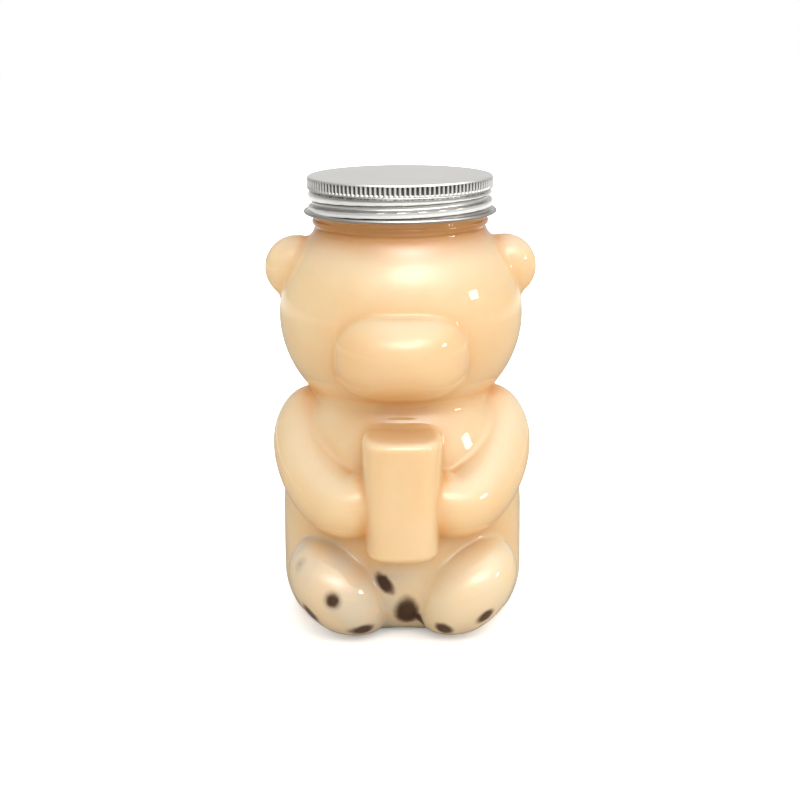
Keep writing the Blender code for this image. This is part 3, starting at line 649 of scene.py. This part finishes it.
def build_lid(material):
    """The lid: top, knurled band, crease, rolled thread and curled bead, then back up its inside."""
    columns = KNURLS * KNURL_COLUMNS
    turns = turns_from_front(columns)
    outer_wall = LID_WALL + LID_SHEET
    wave = 0.5 - 0.5 * np.cos(2 * math.pi * np.arange(columns) / KNURL_COLUMNS)
    plain, bead_shade = np.full(columns, PLAIN_DARKNESS), np.full(columns, BEAD_SHADE)
    # Rows from the middle of the top down the outside: radius, height, and how dark the metal is drawn (its
    # tone, and painted shade)
    rows = [(r, LID_TOP_Z, plain) for r in (0.0004, 0.0120, 0.0240, 0.0285, 0.0292)]
    for k in range(1, 7):
        angle = math.pi / 2 * k / 6
        rows.append((0.0293 + 0.0009 * math.sin(angle), LID_TOP_Z - 0.0006 * (1 - math.cos(angle)), plain))
    # Painted shade: seen from the front, the valleys are darkest a little to the right and again far to the
    # left
    degrees = turns * 360
    valley_shade = 1.12 + 0.20 * np.exp(-(((degrees - 18) / 20) ** 2))
    valley_shade += 0.25 * np.exp(-(((degrees - 317) / 9) ** 2))
    # The knurled band, with painted shade in the knurls' valleys
    band = ((0.14645, 0.15), (0.1462, 0.70), (0.1459, 1), (0.1439, 1), (0.1435, 0.75), (0.1432, 0.15))
    for z, share in band:
        depth_and_shade = 0.6 * wave if z < 0.1438 else share * wave * valley_shade
        rows.append((KNURL_CREST - KNURL_DEPTH * share * wave, z, np.maximum(depth_and_shade, plain)))
    # Painted shade along the crease under the knurls
    crease = ((0.0302, 0.1430, 0.45), (0.0299, 0.1427, 0.50), (0.0294, 0.1425, 0.66))
    crease += ((0.0291, 0.1423, 0.70), (0.0292, 0.1421, 0.62), (0.0296, 0.1418, 0.15))
    rows += [(r, z, np.full(columns, depth_and_shade)) for r, z, depth_and_shade in crease]
    heights = np.linspace(ROLLED_HIGH_Z, ROLLED_LOW_Z, 40)
    for z in heights:
        depth_and_shade, lid_shade = groove_depth(turns, z)
        rows.append((outer_wall - GROOVE_DEPTH * depth_and_shade, z, lid_shade))
    # The curled bead, darkened all round by painted shade
    bead_radius, bead_z = outer_wall + 0.0007, LID_LOW_Z + BEAD_HALF_HEIGHT
    for k in range(11):
        angle = math.radians(-52 + 142 * k / 10)
        out, down = BEAD_HALF_WIDTH * math.cos(angle), BEAD_HALF_HEIGHT * math.sin(angle)
        rows.append((bead_radius + out, bead_z - down, bead_shade))
    rows.append((outer_wall + 0.0002, LID_LOW_Z + 0.0001, plain))
    rows.append((LID_WALL, LID_LOW_Z + 0.0002, plain))
    for z in heights[::-1]:
        depth_and_shade, _ = groove_depth(turns, z)
        rows.append((LID_WALL - GROOVE_DEPTH * depth_and_shade, z, plain))
    rows += [(LID_WALL - 0.0006, 0.1423, plain), (0.0295, 0.1430, plain), (0.0295, LID_CEILING_Z, plain)]
    rows += [(0.0120, LID_CEILING_Z, plain), (0.0004, LID_CEILING_Z, plain)]
    work = bmesh.new()
    lid_shade = work.verts.layers.float.new("lid_shade")
    first, last = add_rings(work, [ring(r, z, columns) for r, z, _ in rows])
    work.faces.new(first)
    work.faces.new(last)
    painted_shades = np.concatenate([np.broadcast_to(d, columns) for _, _, d in rows])
    for vertex, depth_and_shade in zip(work.verts, painted_shades):
        vertex[lid_shade] = float(depth_and_shade)
    finish_piece("rolled_lid", work, material, "cap", ["cap"], 50)


# The grid that the skins are meshed on
STEP = 0.00085
LOW, HIGH = (-0.0475, -0.0535, -0.0030), (0.0475, 0.0425, 0.1360)

plastic = clear_plastic()
aluminium = satin_aluminium()
foam = seal_foam()
pearl_look = tapioca()
points, outer_quads = surface_net(vessel, LOW, HIGH, STEP)
outer_points = settle(vessel, points, 0.0)
points, inner_quads = surface_net(lambda p: vessel(p) + WALL, LOW, HIGH, STEP)
inner_points = settle(vessel, points, -WALL)
drink_points = settle(vessel, inner_points, -DRINK_DEPTH, 2)

# The spot of each pearl on the drink's skin: its middle, the half widths of its core and its soft edge,
# its strength, its length over its width, and its tilt in degrees
PEARL_SPOTS = (
    ((-0.0224, -0.0442, 0.0168), 0.0018, 0.0038, 0.95, 1.1, -70),
    ((-0.0293, -0.0367, 0.0106), 0.0020, 0.0036, 0.88, 1.5, -40),
    ((-0.0129, -0.0391, 0.0054), 0.0020, 0.0034, 0.92, 2.3, -15),
    ((-0.0059, -0.0353, 0.0195), 0.0018, 0.0030, 0.98, 2.0, -52),
    ((0.0012, -0.0335, 0.0096), 0.0036, 0.0052, 0.96, 1.55, 90),
    ((0.0056, -0.0328, 0.0069), 0.0012, 0.0026, 0.85, 2.4, -65),
    ((0.0132, -0.0394, 0.0057), 0.0024, 0.0038, 0.88, 1.05, 0),
    ((0.0261, -0.0403, 0.0101), 0.0021, 0.0036, 0.93, 1.3, 32),
    ((-0.0328, -0.0349, 0.0258), 0.0004, 0.0030, 0.30, 1.3, 60),
)
spots = []
for (x, y, z), core, soft, strength, ratio, tilt in PEARL_SPOTS:
    turn = math.radians(tilt)
    slim = math.sqrt(1 - 1 / ratio**2)
    long_way = (math.cos(turn) * slim, 0.0, math.sin(turn) * slim)
    spots.append(((x, y + AXIS_Y, z), core, soft, strength, long_way))
tea = milk_tea(spots)
build_bottle(plastic, (outer_points, outer_quads), (inner_points, inner_quads))
build_drink(tea, (drink_points, inner_quads))
for number in range(1, PEARLS + 1):
    build_pearl(number, pearl_look)
build_lid(aluminium)
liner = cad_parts["cap_liner"]
liner.data.materials.clear()
liner.data.materials.append(foam)


# Studio

# The glows' azimuths are right of the front and their elevations above the level, in degrees
FLOOR_MIRRORED, FLOOR_NEAR_GLOW = "8A8A88", 0.28
GLOW_AZIMUTH, GLOW_ELEVATION, GLOW_WIDTH, GLOW_HEIGHT = 11, 45, 0.42, 0.20
GLOW_STRENGTH, GLOW_MIRRORED = 4.6, 9.5
FILL_AZIMUTH, FILL_ELEVATION, FILL_POWER = 45, 58, 5.0
FILL_STRENGTH, FILL_MIRRORED = 0.4, 3.2
AMBIENT_LEVEL, AMBIENT_LEAN = 1.11, 0.05
MIRROR_LEVEL, SIDE_DIMMING, RIGHT_SHARE, FRONT_RISE = 0.73, 0.45, 0.5, 0.25
# The camera's place in metres, its tilts in degrees and its focal length in pixels of an 800 pixel frame
CAMERA_PLACE = (-0.0005, AXIS_Y - 0.6038, 0.2137)
CAMERA_PITCH, CAMERA_ROLL = 13.23, -0.42
FOCAL_PIXELS, FRAME_PIXELS, SENSOR = 1856.0, 800, 36.0


def add_plane(name, corners, material):
    mesh = mesh_of(name, corners, [(0, 1, 2, 3)])
    mesh.materials.append(material)
    obj = bpy.data.objects.new(name, mesh)
    bpy.context.scene.collection.objects.link(obj)


def floor_look():
    """Pale floor that shows the object's shadow near it, is white away from it, and dimmer in mirrors."""
    m = new_look("floor_look")
    distance = m.vector("LENGTH", m.place())
    away = m.math("ADD", m.span(distance, 0.90, 0.50), m.span(distance, 1.00, 2.60, 0.0, 0.7))
    dim = m.math("MULTIPLY", m.mirror_only(), away)
    m.set(Base_Color=m.mix(dim, colour("F2F2F1"), colour(FLOOR_MIRRORED)), Roughness=0.9)
    glow = m.span(distance, 0.09, 0.20, FLOOR_NEAR_GLOW, 1.0)
    m.set(Emission_Color=(1, 1, 1, 1), Emission_Strength=m.math("MULTIPLY", m.seen_by("Camera"), glow))
    return m.owner


def direction(azimuth, elevation):
    """Unit vector at degrees right of the front and above the level."""
    a, e = math.radians(azimuth), math.radians(elevation)
    return Vector((math.sin(a) * math.cos(e), -math.cos(a) * math.cos(e), math.sin(e)))


def add_light(name, azimuth, elevation, distance, width, height, power):
    """An area lamp at an azimuth right of the front and an elevation, aimed at the object's middle."""
    lamp = bpy.data.lights.new(name, "AREA")
    lamp.shape = "RECTANGLE"
    lamp.size, lamp.size_y, lamp.energy = width, height, power
    obj = bpy.data.objects.new(name, lamp)
    way = direction(azimuth, elevation)
    obj.location = Vector((0, 0, 0.08)) + way * distance
    obj.rotation_euler = way.to_track_quat("Z", "Y").to_euler()
    bpy.context.scene.collection.objects.link(obj)


def studio_world():
    """White all round to the camera, with soft glows high in front, and dimmer sides in mirrors."""
    world = bpy.data.worlds.new("studio_world")
    bpy.context.scene.world = world
    w = Nodes(world)
    way = w.place("Generated")
    mirror = w.mirror_only()

    def towards(azimuth, elevation):
        return w.vector("DOT_PRODUCT", way, direction(azimuth, elevation))

    # A wide glow above the camera
    across = w.math("DIVIDE", towards(GLOW_AZIMUTH + 90, 0), GLOW_WIDTH)
    up = w.math("DIVIDE", towards(GLOW_AZIMUTH, GLOW_ELEVATION + 90), GLOW_HEIGHT)
    spread = w.math("ADD", w.math("MULTIPLY", across, across), w.math("MULTIPLY", up, up))
    ahead = w.math("GREATER_THAN", towards(GLOW_AZIMUTH, GLOW_ELEVATION), 0.0)
    glow = w.math("MULTIPLY", w.math("EXPONENT", w.math("MULTIPLY", spread, -1.0)), ahead)
    glow = w.math("MULTIPLY", glow, w.span(mirror, 0, 1, GLOW_STRENGTH, GLOW_MIRRORED))
    # A broad, weak one high on the right
    fill = w.math("POWER", w.math("MAXIMUM", towards(FILL_AZIMUTH, FILL_ELEVATION), 0.0), FILL_POWER)
    fill = w.math("MULTIPLY", fill, w.span(mirror, 0, 1, FILL_STRENGTH, FILL_MIRRORED))
    # Mirrors see dim sides and a brighter front, both fading upwards
    x, y, z = w.axes(way)
    sides = w.math("ADD", w.span(x, -0.25, -0.75), w.span(x, 0.25, 0.75, 0.0, RIGHT_SHARE))
    low = w.span(z, 0.75, 0.30)
    side = w.math("MULTIPLY", sides, low)
    front = w.math("MULTIPLY", w.span(y, -0.2, -0.8), low)
    mirrored = w.math("SUBTRACT", MIRROR_LEVEL, w.math("MULTIPLY", side, SIDE_DIMMING))
    mirrored = w.math("ADD", mirrored, w.math("MULTIPLY", front, FRONT_RISE))
    ambient = w.math("ADD", w.math("MULTIPLY", x, AMBIENT_LEAN), AMBIENT_LEVEL)
    level = w.span(mirror, 0.0, 1.0, ambient, mirrored)
    lit = w.math("ADD", level, w.math("ADD", glow, fill))
    w.set(Color=(1, 1, 1, 1), Strength=w.span(w.seen_by("Camera"), 0.0, 1.0, lit, 1.0))


add_plane("floor", [(-3, -3, 0), (3, -3, 0), (3, 3, 0), (-3, 3, 0)], floor_look())
add_light("window_right", 72, 17, 1.1, 0.17, 0.13, 1.4)
studio_world()

camera_data = bpy.data.cameras.new("camera")
camera_data.sensor_width = SENSOR
camera_data.lens = FOCAL_PIXELS / FRAME_PIXELS * SENSOR
camera = bpy.data.objects.new("camera", camera_data)
camera.location = CAMERA_PLACE
tilt = Matrix.Rotation(math.radians(90 - CAMERA_PITCH), 3, "X")
camera.rotation_euler = (tilt @ Matrix.Rotation(math.radians(CAMERA_ROLL), 3, "Z")).to_euler()
bpy.context.scene.collection.objects.link(camera)
bpy.context.scene.camera = camera
bpy.context.scene.view_settings.view_transform = "Standard"
